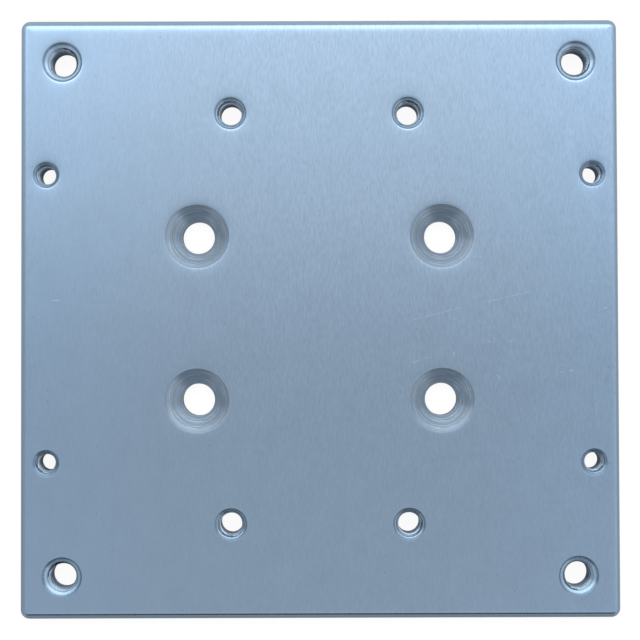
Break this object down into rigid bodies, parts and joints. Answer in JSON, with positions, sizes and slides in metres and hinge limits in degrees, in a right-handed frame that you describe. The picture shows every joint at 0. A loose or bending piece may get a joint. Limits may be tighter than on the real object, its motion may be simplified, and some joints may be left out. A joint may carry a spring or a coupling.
{
  "type": "cover plate",
  "caption": "Square machined aluminium cover plate with countersunk screw holes about its middle and tapped holes of several sizes around its edge.",
  "frame": {"origin": "centre of the back face", "axes": "+Z out of the countersunk front face, +Y along the finish's grain, +X across it; the outline is square"},
  "size_m": [0.12, 0.12, 0.005],
  "materials": {
    "aluminium": "satin, with a fine straight grain along Y"
  },
  "bodies": {
    "root": {"cover_plate": "aluminium"}
  },
  "joints": []
}
